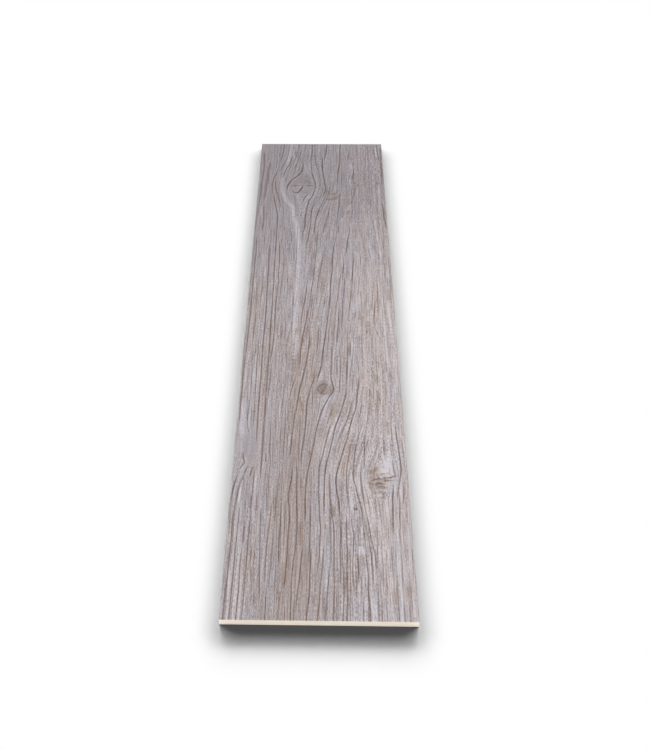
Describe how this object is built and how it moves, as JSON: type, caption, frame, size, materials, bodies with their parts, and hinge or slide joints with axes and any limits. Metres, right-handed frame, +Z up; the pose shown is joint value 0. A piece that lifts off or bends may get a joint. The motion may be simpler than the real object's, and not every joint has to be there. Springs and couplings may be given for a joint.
{
  "type": "wood-look porcelain plank tile",
  "caption": "Long rectangular matte porcelain floor tile with a weathered grey knotty wood print in relief, fine bevelled face edges and a ribbed keying back.",
  "frame": {"origin": "middle of the back, on the plane of the rib tops that lies on the bed", "axes": "+Z up out of the printed face, +Y along the plank's length, +X across its width"},
  "size_m": [0.2, 0.9, 0.009],
  "materials": {
    "printed_porcelain": "matte glazed face printed as weathered grey pine, on an unglazed cream porcelain body"
  },
  "bodies": {
    "root": {"plank_tile": "printed_porcelain"}
  },
  "joints": []
}
